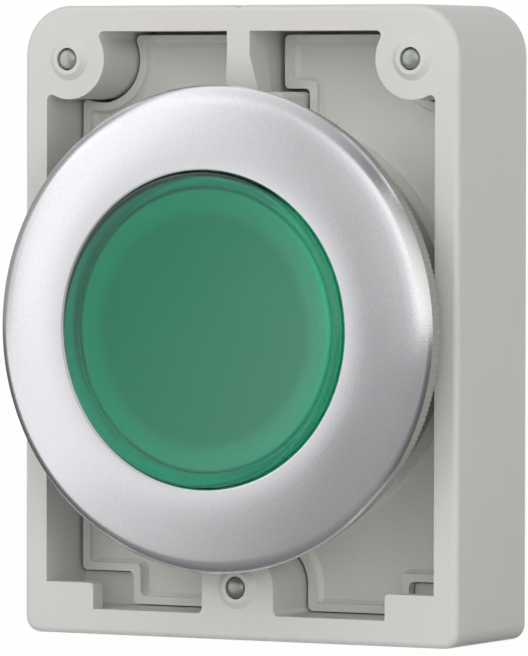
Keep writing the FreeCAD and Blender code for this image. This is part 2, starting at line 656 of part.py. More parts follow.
def thread_insert(x, z):
    """Knurled brass insert in the rear of a boss."""
    y0 = FRAME_REAR - INSERT_LENGTH
    body = tube(INSERT_R, THREAD_R + THREAD_CLEARANCE, y0, FRAME_REAR, x, z)
    for i in range(INSERT_KNURLS):
        angle = 2 * math.pi * i / INSERT_KNURLS
        body = body.cut(post(KNURL_R, y0, FRAME_REAR, x + INSERT_R * math.cos(angle), z + INSERT_R * math.sin(angle)))
    return body


def write(name, shape):
    """One closed solid per file."""
    solids = shape.Solids
    if len(solids) != 1 or not solids[0].isValid():
        raise ValueError("%s gives %d solids" % (name, len(solids)))
    solids[0].exportStep(os.path.join("parts", name + ".step"))


def main():
    os.makedirs("parts", exist_ok=True)
    write("mounting_frame", mounting_frame())
    write("base_plate", base_plate())
    write("barrel", barrel())
    write("bezel_ring", bezel_ring())
    write("bezel_seal", bezel_seal())
    write("panel_gasket", panel_gasket())
    write("lip_seal", lip_seal())
    write("lens_cap", lens_cap())
    write("diffuser_disc", diffuser_disc())
    write("button_carrier", button_carrier())
    write("light_tube", light_tube())
    write("spring_plate", spring_plate())
    write("return_spring", return_spring())
    write("contact_pusher", contact_pusher())
    write("retaining_ring", retaining_ring())
    write("lock_ring", lock_ring())
    for place, (x, z) in SCREWS.items():
        write("clamp_screw_" + place, clamp_screw(x, z))
        write("thread_insert_" + place, thread_insert(x, z))


main()
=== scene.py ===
"""Looks of the illuminated push button: finer pieces, materials, stage and camera."""

import math

import bmesh
import bpy
from mathutils import Matrix, Vector


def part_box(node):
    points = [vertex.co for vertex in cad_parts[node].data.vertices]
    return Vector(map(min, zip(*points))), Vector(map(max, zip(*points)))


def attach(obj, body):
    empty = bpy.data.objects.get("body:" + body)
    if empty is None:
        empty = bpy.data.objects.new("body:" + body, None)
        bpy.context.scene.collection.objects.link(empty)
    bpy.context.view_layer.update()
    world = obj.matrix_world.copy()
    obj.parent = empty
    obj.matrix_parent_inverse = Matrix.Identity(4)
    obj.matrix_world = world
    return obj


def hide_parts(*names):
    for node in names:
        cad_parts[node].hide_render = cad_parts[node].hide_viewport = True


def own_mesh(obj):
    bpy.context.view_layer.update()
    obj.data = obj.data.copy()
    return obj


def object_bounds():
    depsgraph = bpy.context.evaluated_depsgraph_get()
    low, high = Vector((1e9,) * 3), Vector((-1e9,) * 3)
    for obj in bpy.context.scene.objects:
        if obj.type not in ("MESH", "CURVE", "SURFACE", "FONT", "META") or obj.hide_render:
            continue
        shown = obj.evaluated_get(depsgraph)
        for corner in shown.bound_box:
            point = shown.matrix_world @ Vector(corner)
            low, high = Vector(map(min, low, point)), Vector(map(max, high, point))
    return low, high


bl_info = {
    "name": "Illuminated push button",
    "version": (1, 0, 0),
    "blender": (4, 5, 0),
    "location": "View3D > Sidebar > Push button",
    "description": "Builds the visible pieces and finishes of an illuminated push button",
    "category": "Object",
}

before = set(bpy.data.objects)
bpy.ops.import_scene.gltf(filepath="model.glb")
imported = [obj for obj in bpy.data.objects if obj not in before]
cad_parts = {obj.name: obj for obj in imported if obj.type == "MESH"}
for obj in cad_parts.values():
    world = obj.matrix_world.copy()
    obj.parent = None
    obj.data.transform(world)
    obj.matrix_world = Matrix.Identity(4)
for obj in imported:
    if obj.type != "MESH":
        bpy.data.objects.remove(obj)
cad_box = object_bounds()

MM = 0.001
TURN = 2 * math.pi
IMAGE_HEIGHT = 656
SENSOR = 36.0
FOCAL_PIXELS = 7000.0
CAMERA_DISTANCE = 516.4 * MM
CAMERA_YAW = math.radians(28.26)
CAMERA_LIFT = math.radians(1.824)
CAMERA_ROLL = math.radians(0.115)
CAMERA_AIM = Vector((2.21 * MM, 1.5 * MM, 0.05 * MM))


class ButtonSizes(bpy.types.PropertyGroup):
    """Sizes of the round pieces and of the small edges"""

    bezel_radius: bpy.props.FloatProperty(
        name="Bezel radius", description="Outer radius of the bezel ring",
        default=17.98 * MM, unit="LENGTH", precision=5)
    bezel_hole: bpy.props.FloatProperty(
        name="Bezel hole", description="Radius of the hole that the lens moves in",
        default=11.68 * MM, unit="LENGTH", precision=5)
    lens_radius: bpy.props.FloatProperty(
        name="Lens radius", description="Outer radius of the lens cap",
        default=11.56 * MM, unit="LENGTH", precision=5)
    lens_edge: bpy.props.FloatProperty(
        name="Lens edge", description="Rounding of the front edge of the lens",
        default=0.4 * MM, unit="LENGTH", precision=5)
    diffuser_radius: bpy.props.FloatProperty(
        name="Diffuser radius", description="Radius of the matt disc behind the lens",
        default=9.25 * MM, unit="LENGTH", precision=5)
    button_travel: bpy.props.FloatProperty(
        name="Button travel", description="How far the button goes in and shortens the spring",
        default=4.0 * MM, unit="LENGTH", precision=5)
    gasket_flutes: bpy.props.IntProperty(
        name="Gasket flutes", description="Fine flutes round the rim of the panel gasket",
        default=288, min=12)
    thread_pitch: bpy.props.FloatProperty(
        name="Thread pitch", description="Pitch of the clamp screws",
        default=0.45 * MM, unit="LENGTH", precision=5)
    mould_edge: bpy.props.FloatProperty(
        name="Moulded edge", description="Rounding of the edges of the moulded pieces",
        default=0.18 * MM, unit="LENGTH", precision=5)


class ButtonColours(bpy.types.PropertyGroup):
    """Colours of the finishes"""

    frame_grey: bpy.props.FloatVectorProperty(
        name="Frame", description="Light grey plastic of the mounting frame",
        default=(0.64, 0.63, 0.605), size=3, subtype="COLOR", min=0, max=1)
    # Grey plastic of the base plate, set paler than the frame grey as painted light that brightens the
    # shaded pockets.
    plate_grey_and_painted_light: bpy.props.FloatVectorProperty(
        name="Base plate", description="Grey plastic of the base plate",
        default=(0.74, 0.735, 0.70), size=3, subtype="COLOR", min=0, max=1)
    bezel_silver: bpy.props.FloatVectorProperty(
        name="Bezel", description="Satin silver of the bezel ring",
        default=(0.92, 0.915, 0.95), size=3, subtype="COLOR", min=0, max=1)
    lens_green: bpy.props.FloatVectorProperty(
        name="Lens", description="Clear green of the lens cap",
        default=(0.03, 0.53, 0.335), size=3, subtype="COLOR", min=0, max=1)
    # Painted sheen: a paler green on the lower right of the lens cap that stands in for light reflected
    # there.
    lens_painted_sheen: bpy.props.FloatVectorProperty(
        name="Lens, pale side", description="Paler green towards the right of the lens cap",
        default=(0.27, 0.66, 0.51), size=3, subtype="COLOR", min=0, max=1)
    # Painted highlight: bright green where light gathers in the right edge of the lens cap.
    lens_painted_highlight: bpy.props.FloatVectorProperty(
        name="Lens painted highlight", description="Bright green where light gathers in the right edge of the lens cap",
        default=(0.12, 0.98, 0.62), size=3, subtype="COLOR", min=0, max=1)
    lens_band: bpy.props.FloatVectorProperty(
        name="Lens band", description="Clearer green of the outer band of the lens cap",
        default=(0.07, 0.80, 0.55), size=3, subtype="COLOR", min=0, max=1)
    # Painted shadow: dark green for the shade in the gap between the bezel and the upper left edge of the
    # lens cap.
    lens_shade: bpy.props.FloatVectorProperty(
        name="Lens shade", description="Dark green of the upper left edge of the lens cap",
        default=(0.03, 0.11, 0.07), size=3, subtype="COLOR", min=0, max=1)
    diffuser_grey: bpy.props.FloatVectorProperty(
        name="Diffuser", description="Milky grey of the disc behind the lens",
        default=(0.49, 0.52, 0.50), size=3, subtype="COLOR", min=0, max=1)
    diffuser_rim: bpy.props.FloatVectorProperty(
        name="Diffuser rim", description="White of the rim round the disc",
        default=(0.90, 0.92, 0.90), size=3, subtype="COLOR", min=0, max=1)
    gasket_grey: bpy.props.FloatVectorProperty(
        name="Gasket", description="Grey rubber of the panel gasket",
        default=(0.37, 0.365, 0.34), size=3, subtype="COLOR", min=0, max=1)


def sizes():
    return bpy.context.scene.button_sizes


def colours():
    return bpy.context.scene.button_colours


# node groups and materials

def calculation(tree, operation, *terms):
    """Math node on sockets and plain numbers; returns its result."""
    node = tree.nodes.new("ShaderNodeMath")
    node.operation = operation
    for socket, term in zip(node.inputs, terms):
        if isinstance(term, bpy.types.NodeSocket):
            tree.links.new(term, socket)
        else:
            socket.default_value = term
    return node.outputs[0]


def new_group(name, inputs, outputs):
    """Empty shader node group with named sockets: (name, type, default)."""
    tree = bpy.data.node_groups.new(name, "ShaderNodeTree")
    for label, kind, default in inputs:
        socket = tree.interface.new_socket(name=label, in_out="INPUT", socket_type=kind)
        socket.default_value = default
    for label, kind in outputs:
        tree.interface.new_socket(name=label, in_out="OUTPUT", socket_type=kind)
    return tree, tree.nodes.new("NodeGroupInput"), tree.nodes.new("NodeGroupOutput")


def grain_group():
    """Fine grain: cloudy tint, speckle and bump on object coordinates."""
    name = "Fine Grain"
    if name in bpy.data.node_groups:
        return bpy.data.node_groups[name]
    tree, given, result = new_group(
        name,
        [("Colour", "NodeSocketColor", (0.5, 0.5, 0.5, 1)),
         ("Grain Scale", "NodeSocketFloat", 6000.0),
         ("Grain Height", "NodeSocketFloat", 0.00001),
         ("Tint Spread", "NodeSocketFloat", 0.03),
         ("Speckle Spread", "NodeSocketFloat", 0.03),
         ("Roughness Low", "NodeSocketFloat", 0.4),
         ("Roughness High", "NodeSocketFloat", 0.55)],
        [("Colour", "NodeSocketColor"),
         ("Roughness", "NodeSocketFloat"),
         ("Normal", "NodeSocketVector")])
    link = tree.links.new
    place = tree.nodes.new("ShaderNodeTexCoord")
    cloud = tree.nodes.new("ShaderNodeTexNoise")
    cloud.inputs["Scale"].default_value = 170.0
    cloud.inputs["Detail"].default_value = 3.0
    grain = tree.nodes.new("ShaderNodeTexNoise")
    grain.inputs["Detail"].default_value = 2.0
    link(place.outputs["Object"], cloud.inputs["Vector"])
    link(place.outputs["Object"], grain.inputs["Vector"])
    link(given.outputs["Grain Scale"], grain.inputs["Scale"])

    def shift(source, spread):
        """1 plus the noise, centred on 0, times the spread."""
        centred = calculation(tree, "SUBTRACT", source, 0.5)
        return calculation(tree, "MULTIPLY_ADD", centred, spread, 1.0)

    tint = shift(cloud.outputs["Fac"], given.outputs["Tint Spread"])
    speckle = shift(grain.outputs["Fac"], given.outputs["Speckle Spread"])
    tinted = tree.nodes.new("ShaderNodeVectorMath")
    tinted.operation = "SCALE"
    link(given.outputs["Colour"], tinted.inputs[0])
    link(calculation(tree, "MULTIPLY", tint, speckle), tinted.inputs["Scale"])
    rough = tree.nodes.new("ShaderNodeMapRange")
    link(cloud.outputs["Fac"], rough.inputs["Value"])
    rough.inputs["From Min"].default_value = 0.1
    rough.inputs["From Max"].default_value = 0.9
    link(given.outputs["Roughness Low"], rough.inputs["To Min"])
    link(given.outputs["Roughness High"], rough.inputs["To Max"])
    bump = tree.nodes.new("ShaderNodeBump")
    link(grain.outputs["Fac"], bump.inputs["Height"])
    link(given.outputs["Grain Height"], bump.inputs["Distance"])
    link(tinted.outputs["Vector"], result.inputs["Colour"])
    link(rough.outputs["Result"], result.inputs["Roughness"])
    link(bump.outputs["Normal"], result.inputs["Normal"])
    return tree


def finish(name, colour, texture, metallic=0.0, transmission=0.0, ior=1.5):
    """Material with the grain group in front of the shader."""
    if name in bpy.data.materials:
        return bpy.data.materials[name]
    material = bpy.data.materials.new(name)
    material.use_nodes = True
    material.diffuse_color = (*colour, 1)
    nodes = material.node_tree.nodes
    link = material.node_tree.links.new
    shader = nodes["Principled BSDF"]
    shader.inputs["Metallic"].default_value = metallic
    shader.inputs["Transmission Weight"].default_value = transmission
    shader.inputs["IOR"].default_value = ior
    group = nodes.new("ShaderNodeGroup")
    group.node_tree = grain_group()
    group.inputs["Colour"].default_value = (*colour, 1)
    for label, value in texture.items():
        group.inputs[label].default_value = value
    link(group.outputs["Colour"], shader.inputs["Base Color"])
    link(group.outputs["Roughness"], shader.inputs["Roughness"])
    link(group.outputs["Normal"], shader.inputs["Normal"])
    return material


def grain(scale, height, tint, speckle, low, high):
    """Inputs of the grain group: height in millimetres, roughness from low to high."""
    return {"Grain Scale": scale, "Grain Height": height * MM, "Tint Spread": tint,
            "Speckle Spread": speckle, "Roughness Low": low, "Roughness High": high}


def frame_plastic():
    return finish("Frame plastic", colours().frame_grey, grain(5200, 0.008, 0.05, 0.06, 0.42, 0.52))


# Base plate plastic: its own grey, partly lifted as painted light in the pockets.
def plate_plastic():
    return finish("Base plate plastic", colours().plate_grey_and_painted_light, grain(4200, 0.010, 0.07, 0.08, 0.46, 0.6))


def bezel_metal():
    return finish("Bezel satin silver", colours().bezel_silver,
                  grain(8200, 0.006, 0.03, 0.20, 0.20, 0.28), metallic=1.0)


def ramp_between(material, measure, low, high, first, second):
    """Colour that runs from first to second as the measure goes from low to high.

    It takes the place of the grain group's colour and is returned, so that ramps can be chained.
    """
    nodes = material.node_tree.nodes
    link = material.node_tree.links.new
    share = nodes.new("ShaderNodeMapRange")
    share.interpolation_type = "SMOOTHSTEP"
    share.inputs["From Min"].default_value = low
    share.inputs["From Max"].default_value = high
    link(measure, share.inputs["Value"])
    blend = nodes.new("ShaderNodeMix")
    blend.data_type = "RGBA"
    link(share.outputs["Result"], blend.inputs[0])
    for socket, value in ((blend.inputs[6], first), (blend.inputs[7], second)):
        if isinstance(value, bpy.types.NodeSocket):
            link(value, socket)
        else:
            socket.default_value = (*value, 1)
    group = next(n for n in nodes if n.type == "GROUP")
    link(blend.outputs[2], group.inputs["Colour"])
    return blend.outputs[2]


def distance_from(material, centre):
    """Distance of each point from a line parallel to the button axis, through the centre."""
    nodes = material.node_tree.nodes
    link = material.node_tree.links.new
    place = nodes.new("ShaderNodeTexCoord")
    flat = nodes.new("ShaderNodeVectorMath")
    flat.operation = "MULTIPLY"
    flat.inputs[1].default_value = (1, 0, 1)
    away = nodes.new("ShaderNodeVectorMath")
    away.operation = "DISTANCE"
    away.inputs[1].default_value = centre
    link(place.outputs["Object"], flat.inputs[0])
    link(flat.outputs["Vector"], away.inputs[0])
    return away.outputs["Value"]


def lens_plastic():
    """Clear green, paler to the lower right as a painted sheen, and paler in an outer band.

    Its edge has a painted highlight on the right, where light gathers, and a painted shadow at the upper
    left.
    """
    material = finish("Lens clear green", colours().lens_green,
                      grain(2600, 0.002, 0.04, 0.05, 0.20, 0.28), transmission=0.86, ior=1.49)
    nodes = material.node_tree.nodes
    place = nodes.new("ShaderNodeTexCoord")
    across = nodes.new("ShaderNodeVectorMath")
    across.operation = "DOT_PRODUCT"
    across.inputs[1].default_value = (0.9, 0, -0.45)
    material.node_tree.links.new(place.outputs["Object"], across.inputs[0])
    # Painted sheen: the green turns paler towards the lower right.
    face = ramp_between(material, across.outputs["Value"], -11 * MM, 13 * MM,
                        colours().lens_green, colours().lens_painted_sheen)
    radius = sizes().lens_radius
    from_axis = distance_from(material, (0, 0, 0))
    band = ramp_between(material, from_axis, radius - 1.3 * MM, radius - 0.7 * MM,
                        face, colours().lens_band)
    # Painted highlight: the edge turns bright green towards the right.
    from_left = distance_from(material, (-0.8 * MM, 0, -0.3 * MM))
    edge = ramp_between(material, from_left, radius - 0.3 * MM, radius + 0.4 * MM,
                        band, colours().lens_painted_highlight)
    # Painted shadow: the edge turns dark green towards the upper left.
    from_lower_right = distance_from(material, (0.42 * MM, 0, -0.55 * MM))
    ramp_between(material, from_lower_right, radius + 0.12 * MM, radius + 0.34 * MM,
                 edge, colours().lens_shade)
    return material


def diffuser_plastic():
    """Milky grey with a paler rim."""
    material = finish("Diffuser milky", colours().diffuser_grey, grain(3000, 0.006, 0.05, 0.05, 0.5, 0.7))
    edge = sizes().diffuser_radius
    ramp_between(material, distance_from(material, (0, 0, 0)), edge - 1.3 * MM, edge + 0.2 * MM,
                 colours().diffuser_grey, colours().diffuser_rim)
    return material


def gasket_rubber():
    return finish("Gasket rubber", colours().gasket_grey,
                  grain(5200, 0.012, 0.08, 0.10, 0.55, 0.75))


def seal_rubber():
    return finish("Seal rubber", (0.02, 0.02, 0.021), grain(4200, 0.01, 0.1, 0.2, 0.5, 0.7))


def barrel_plastic():
    return finish("Barrel plastic", (0.50, 0.49, 0.46), grain(5200, 0.008, 0.06, 0.08, 0.4, 0.52))


def carrier_plastic():
    return finish("Carrier plastic", (0.88, 0.90, 0.87), grain(5200, 0.008, 0.05, 0.05, 0.42, 0.55))


def tube_plastic():
    return finish("Light tube clear", (0.86, 0.90, 0.88),
                  grain(900, 0.0005, 0.02, 0.02, 0.05, 0.12), transmission=1.0, ior=1.49)


def ring_steel():
    return finish("Ring steel", (0.52, 0.52, 0.53),
                  grain(7000, 0.004, 0.05, 0.14, 0.24, 0.36), metallic=1.0)


def screw_steel():
    return finish("Screw nickel", (0.55, 0.58, 0.555),
                  grain(7000, 0.006, 0.08, 0.16, 0.36, 0.5), metallic=1.0)


def insert_brass():
    return finish("Insert brass", (0.62, 0.43, 0.16),
                  grain(7000, 0.004, 0.05, 0.12, 0.28, 0.4), metallic=1.0)


# mesh helpers

def finish_piece(name, mesh_edit, material, body, node, angle=34):
    """Turns the edited bmesh into a piece that rides on a body and replaces a CAD node."""
    bmesh.ops.recalc_face_normals(mesh_edit, faces=mesh_edit.faces[:])
    for face in mesh_edit.faces:
        face.smooth = True
    mesh = bpy.data.meshes.new(name)
    mesh_edit.to_mesh(mesh)
    mesh_edit.free()
    mesh.set_sharp_from_angle(angle=math.radians(angle))
    mesh.materials.append(material)
    piece = bpy.data.objects.new(name, mesh)
    bpy.context.scene.collection.objects.link(piece)
    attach(piece, body)
    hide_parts(node)
    return piece


def section(mesh_edit, corners, segments):
    """Closed profile of (radius, y, rounding) corners in millimetres, as a wire."""
    verts = [mesh_edit.verts.new((r * MM, y * MM, 0)) for r, y, _ in corners]
    mesh_edit.faces.new(verts)
    for vert, (_, _, rounding) in zip(verts, corners):
        if rounding:
            bmesh.ops.bevel(mesh_edit, geom=[vert], offset=rounding * MM, offset_type="OFFSET",
                            segments=segments, profile=0.5, affect="VERTICES", material=-1)
    bmesh.ops.delete(mesh_edit, geom=mesh_edit.faces[:], context="FACES_ONLY")
    on_axis = [e for e in mesh_edit.edges if all(abs(v.co.x) < 1e-8 for v in e.verts)]
    bmesh.ops.delete(mesh_edit, geom=on_axis, context="EDGES")


def spin_full(mesh_edit, steps):
    """Turns all that the bmesh holds once round the button axis."""
    bmesh.ops.spin(mesh_edit, geom=mesh_edit.verts[:] + mesh_edit.edges[:], cent=(0, 0, 0),
                   axis=(0, 1, 0), dvec=(0, 0, 0), angle=TURN, steps=steps,
                   use_merge=True, use_normal_flip=False, use_duplicate=False)
    bmesh.ops.remove_doubles(mesh_edit, verts=mesh_edit.verts[:], dist=1e-7)


def turned(name, corners, material, body, node, steps=192, segments=6):
    """Piece turned about the button axis from one closed profile."""
    mesh_edit = bmesh.new()
    section(mesh_edit, corners, segments)
    spin_full(mesh_edit, steps)
    finish_piece(name, mesh_edit, material, body, node)


def softened(name, node, material, body, edge):
    """Copy of a CAD node, merged, with the edges sharper than 30 degrees rounded."""
    mesh_edit = bmesh.new()
    mesh_edit.from_mesh(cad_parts[node].data)
    bmesh.ops.remove_doubles(mesh_edit, verts=mesh_edit.verts[:], dist=1e-6)
    bmesh.ops.dissolve_limit(mesh_edit, angle_limit=math.radians(0.5), use_dissolve_boundaries=False,
                             verts=mesh_edit.verts[:], edges=mesh_edit.edges[:], delimit=set())
    limit = math.radians(30)
    sharp = [e for e in mesh_edit.edges if e.is_manifold and e.calc_face_angle(0) > limit]
    bmesh.ops.bevel(mesh_edit, geom=sharp, offset=edge, offset_type="OFFSET", segments=2,
                    profile=0.5, affect="EDGES", clamp_overlap=True, material=-1, loop_slide=True)
    piece = finish_piece(name, mesh_edit, material, body, node, angle=40)
    weighted = piece.modifiers.new("Even shading", "WEIGHTED_NORMAL")
    weighted.keep_sharp = True


class PUSHBUTTON_OT_bezel(bpy.types.Operator):
    """Domed bezel ring with its rolled inner lip"""

    bl_idname = "pushbutton.bezel"
    bl_label = "Bezel ring"

    def execute(self, context):
        outer = sizes().bezel_radius / MM
        hole = sizes().bezel_hole / MM
        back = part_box("bezel_ring")[1].y / MM
        seat_radius = 14.15
        seat_front = -3.1
        crest = back - 2.43
        dome = (
            (0.04, 0.568, 0.1),
            (0.16, 0.865, 0.15),
            (0.43, 1.265, 0.22),
            (0.78, 1.559, 0.22),
            (1.23, 1.778, 0.27),
            (1.89, 1.967, 0.4),
            (2.97, 2.197, 0.53),
            (4.07, 2.352, 0.53),
            (5.18, 2.43, 0.45),
        )
        turned("bezel", [
            (seat_radius, back, 0.0),
            (outer - 0.6, back, 0.06),
            (outer, back - 0.45, 0.03),
            *[(outer - inset, back - rise, rounding) for inset, rise, rounding in dome],
            (hole + 0.16, crest, 0.08),
            (hole, crest + 0.07, 0.06),
            (hole, seat_front, 0.0),
            (seat_radius, seat_front, 0.0),
        ], bezel_metal(), "housing", "bezel_ring", steps=256)
        return {"FINISHED"}


class PUSHBUTTON_OT_lens(bpy.types.Operator):
    """Clear lens cap and the milky disc behind it"""

    bl_idname = "pushbutton.lens"
    bl_label = "Lens and diffuser"

    def execute(self, context):
        radius = sizes().lens_radius / MM
        edge = sizes().lens_edge / MM
        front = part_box("lens_cap")[0].y / MM
        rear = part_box("lens_cap")[1].y / MM
        skirt = rear - 0.05
        bore = radius - 1.0
        ceiling = front + 1.1
        turned("lens", [
            (0.0, front, 0.0),
            (radius, front, edge),
            (radius, skirt, 0.0),
            (bore, skirt, 0.0),
            (bore, ceiling, 0.6),
            (0.0, ceiling, 0.0),
        ], lens_plastic(), "button", "lens_cap", steps=256)
        disc = sizes().diffuser_radius / MM
        rim = radius - 1.15
        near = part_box("diffuser_disc")[0].y / MM
        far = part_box("diffuser_disc")[1].y / MM
        face = near + 0.06
        ledge = near + 0.2
        turned("diffuser", [
            (0.0, face, 0.0),
            (disc, face, 0.12),
            (disc, ledge, 0.0),
            (rim, ledge, 0.15),
            (rim, far, 0.0),
            (0.0, far, 0.0),
        ], diffuser_plastic(), "button", "diffuser_disc")
        return {"FINISHED"}


class PUSHBUTTON_OT_barrel(bpy.types.Operator):
    """Barrel with its grooves and shoulder"""

    bl_idname = "pushbutton.barrel"
    bl_label = "Barrel"

    def execute(self, context):
        neck, body, tail = 14.1, 15.0, 14.2
        bore, lens_bore, plate_seat = 12.5, 11.75, 12.6
        seal_groove, lock_groove, retainer_groove = 12.9, 13.6, 13.2
        front, body_front, body_rear = -2.8, -1.6, 6.6
        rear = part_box("barrel")[1].y / MM
        seal_floor, shoulder = -1.7, -0.7
        lock_front, lock_rear = 11.9, 12.9
        plate_front, plate_rear, retainer_rear = 11.8, 14.0, 14.8
        turned("barrel_tube", [
            (seal_groove, front, 0.05),
            (neck, front, 0.05),
            (neck, body_front, 0.0),
            (body, body_front, 0.0),
            (body, body_rear, 0.15),
            (tail, body_rear, 0.0),
            (tail, lock_front, 0.0),
            (lock_groove, lock_front, 0.0),
            (lock_groove, lock_rear, 0.0),
            (tail, lock_rear, 0.12),
            (tail, rear, 0.3),
            (bore, rear, 0.2),
            (bore, retainer_rear, 0.1),
            (retainer_groove, retainer_rear, 0.0),
            (retainer_groove, plate_rear, 0.0),
            (plate_seat, plate_rear, 0.0),
            (plate_seat, plate_front, 0.0),
            (bore, plate_front, 0.0),
            (bore, shoulder, 0.0),
            (lens_bore, shoulder, 0.0),
            (lens_bore, seal_floor, 0.0),
            (seal_groove, seal_floor, 0.0),
        ], barrel_plastic(), "housing", "barrel", segments=3)
        return {"FINISHED"}


class PUSHBUTTON_OT_gasket(bpy.types.Operator):
    """Panel gasket with a finely fluted rim"""

    bl_idname = "pushbutton.gasket"
    bl_label = "Panel gasket"

    def execute(self, context):
        flutes = sizes().gasket_flutes
        flute_depth = 0.07 * MM
        bore = 15.05
        low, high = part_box("panel_gasket")
        outer = high.x / MM
        fluted_from = (outer - 0.5) * MM
        mesh_edit = bmesh.new()
        section(mesh_edit, [
            (bore, low.y / MM, 0.0),
            (outer, low.y / MM, 0.22),
            (outer, high.y / MM, 0.3),
            (bore, high.y / MM, 0.0),
        ], 3)
        spin_full(mesh_edit, flutes * 4)
        middle = (low.y + high.y) / 2
        for vert in mesh_edit.verts:
            radius = math.hypot(vert.co.x, vert.co.z)
            if radius > fluted_from:
                wave = 0.5 - 0.5 * math.cos(flutes * math.atan2(vert.co.z, vert.co.x))
                shrink = 1 - flute_depth * wave / radius
                vert.co.x *= shrink
                vert.co.z *= shrink
        band = [e for e in mesh_edit.edges
                if min(v.co.y for v in e.verts) < middle < max(v.co.y for v in e.verts)
                and math.hypot(e.verts[0].co.x, e.verts[0].co.z) > fluted_from]
        bmesh.ops.subdivide_edges(mesh_edit, edges=band, cuts=1, use_grid_fill=False)
        finish_piece("gasket", mesh_edit, gasket_rubber(), "housing",
                     "panel_gasket", angle=60)
        return {"FINISHED"}


class PUSHBUTTON_OT_mouldings(bpy.types.Operator):
    """Mounting frame, base plate and the moulded pieces at the back"""

    bl_idname = "pushbutton.mouldings"
    bl_label = "Moulded pieces"

    def execute(self, context):
        edge = sizes().mould_edge
        softened("frame_shell", "mounting_frame", frame_plastic(), "housing", edge)
        softened("floor_plate", "base_plate", plate_plastic(), "housing", edge * 0.8)
        softened("rear_disc", "spring_plate", barrel_plastic(), "housing", edge)
        softened("spool", "button_carrier", carrier_plastic(), "button", edge)
        softened("pusher", "contact_pusher", carrier_plastic(), "button", edge)
        return {"FINISHED"}


def threaded_screw(name, node, body):
    """Slotted set screw: a turned tip and shank with a thread wound round it."""
    low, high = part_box(node)
    centre = (low + high) / 2
    pitch = sizes().thread_pitch / MM
    tip = low.y / MM
    rear = high.y / MM
    tip_radius, core_radius, root, crest, end_radius = 0.78, 1.05, 1.0, 1.24, 1.2
    tip_end, core_start, thread_start = tip + 3.9, tip + 4.1, tip + 4.3
    thread_end = rear - 1.25
    slot_depth, slot_half = 0.85, 0.25
    slot_floor = rear - slot_depth
    mesh_edit = bmesh.new()
    section(mesh_edit, [
        (0.0, tip, 0.0),
        (tip_radius, tip, 0.55),
        (tip_radius, tip_end, 0.0),
        (core_radius, core_start, 0.0),
        (core_radius, slot_floor, 0.0),
        (0.0, slot_floor, 0.0),
    ], 6)
    spin_full(mesh_edit, 48)
    coil = bmesh.new()
    turns = (thread_end - thread_start) / pitch
    ridge = [(root, -0.4), (crest, -0.05), (crest, 0.05), (root, 0.4)]
    verts = [coil.verts.new((r * MM, (thread_start + y * pitch) * MM, 0)) for r, y in ridge]
    for a, b in zip(verts, verts[1:]):
        coil.edges.new((a, b))
    steps = 24
    bmesh.ops.spin(coil, geom=coil.verts[:] + coil.edges[:], cent=(0, 0, 0), axis=(0, 1, 0),
                   dvec=(0, pitch * MM / steps, 0), angle=TURN * turns, steps=int(steps * turns),
                   use_merge=False, use_normal_flip=False, use_duplicate=False)
    coil_mesh = bpy.data.meshes.new(name + "_coil")
    coil.to_mesh(coil_mesh)
    coil.free()
    mesh_edit.from_mesh(coil_mesh)
    bpy.data.meshes.remove(coil_mesh)
    for side in (-1, 1):
        end = bmesh.ops.create_circle(mesh_edit, cap_ends=True, radius=end_radius * MM, segments=40)
        half = end["verts"]
        bmesh.ops.rotate(mesh_edit, verts=half, cent=(0, 0, 0), matrix=Matrix.Rotation(math.pi / 2, 3, "X"))
        bmesh.ops.translate(mesh_edit, verts=half, vec=(0, slot_floor * MM, 0))
        edges = list({e for v in half for e in v.link_edges})
        faces = list({f for v in half for f in v.link_faces})
        cut = bmesh.ops.bisect_plane(mesh_edit, geom=half + edges + faces, dist=1e-8,
                                     plane_co=(0, 0, side * slot_half * MM), plane_no=(0, 0, side),
                                     clear_inner=True, clear_outer=False)
        kept = [f for f in cut["geom"] if isinstance(f, bmesh.types.BMFace)]
        raised = bmesh.ops.extrude_face_region(mesh_edit, geom=kept)
        top = [v for v in raised["geom"] if isinstance(v, bmesh.types.BMVert)]
        bmesh.ops.translate(mesh_edit, verts=top, vec=(0, slot_depth * MM, 0))
    bmesh.ops.translate(mesh_edit, verts=mesh_edit.verts[:], vec=(centre.x, 0, centre.z))
    finish_piece(name, mesh_edit, screw_steel(), body, node)


class PUSHBUTTON_OT_screws(bpy.types.Operator):
    """Clamp screws with their domed tips, threads and slots"""

    bl_idname = "pushbutton.screws"
    bl_label = "Clamp screws"

    def execute(self, context):
        for place in ("left", "right", "bottom"):
            threaded_screw("set_screw_" + place, "clamp_screw_" + place, "screw_" + place)
        return {"FINISHED"}


class PUSHBUTTON_OT_spring(bpy.types.Operator):
    """Return spring, merged from the CAD node and shaded smooth"""

    bl_idname = "pushbutton.spring"
    bl_label = "Return spring"

    def execute(self, context):
        mesh_edit = bmesh.new()
        mesh_edit.from_mesh(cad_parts["return_spring"].data)
        bmesh.ops.remove_doubles(mesh_edit, verts=mesh_edit.verts[:], dist=1e-6)
        coil = finish_piece("coil", mesh_edit, ring_steel(), "housing",
                            "return_spring", angle=60)
        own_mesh(coil)
        return {"FINISHED"}


class PUSHBUTTON_OT_cad_finishes(bpy.types.Operator):
    """Finishes of the CAD nodes that are shown as they are"""

    bl_idname = "pushbutton.cad_finishes"
    bl_label = "Finishes of the plain nodes"

    def execute(self, context):
        plan = {
            "bezel_seal": seal_rubber,
            "lip_seal": seal_rubber,
            "light_tube": tube_plastic,
            "retaining_ring": ring_steel,
            "lock_ring": ring_steel,
            "thread_insert_left": insert_brass,
            "thread_insert_right": insert_brass,
            "thread_insert_bottom": insert_brass,
        }
        for node, make in plan.items():
            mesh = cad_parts[node].data
            mesh.materials.clear()
            mesh.materials.append(make())
        return {"FINISHED"}


